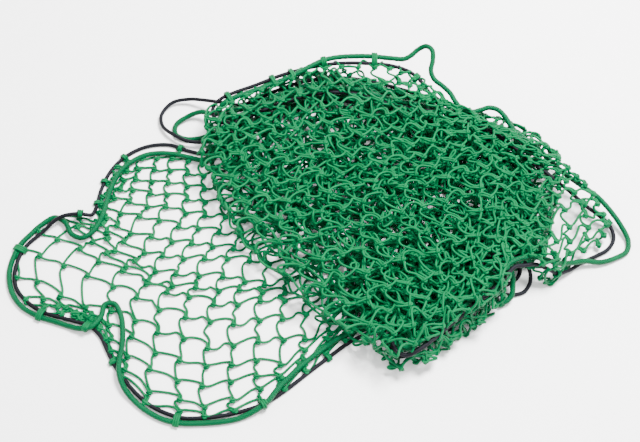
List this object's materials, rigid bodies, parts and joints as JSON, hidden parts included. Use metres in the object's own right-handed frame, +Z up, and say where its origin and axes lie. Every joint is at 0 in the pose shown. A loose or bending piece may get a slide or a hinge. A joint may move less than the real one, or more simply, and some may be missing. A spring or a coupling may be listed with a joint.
{
  "type": "cargo net",
  "caption": "Knotted green cargo net edged with a black elastic cord and a green rope, lying partly flat on the ground and partly folded back and forth into a low pile.",
  "frame": {"origin": "on the ground under the middle of the laid-out net's footprint", "axes": "X along the length in which the net lies, towards the folded pile; Y across it, away from the viewer of the picture; Z up"},
  "size_m": [0.9248, 0.6059, 0.0786],
  "materials": {
    "green_twine": "braided polyethylene twine, slightly glossy",
    "black_elastic": "woven polyester sleeve over rubber, satin",
    "green_rope": "braided polyethylene rope, slightly glossy"
  },
  "bodies": {
    "root": {"net_panel": "green_twine", "elastic_cord": "black_elastic", "border_rope": "green_rope"}
  },
  "joints": []
}
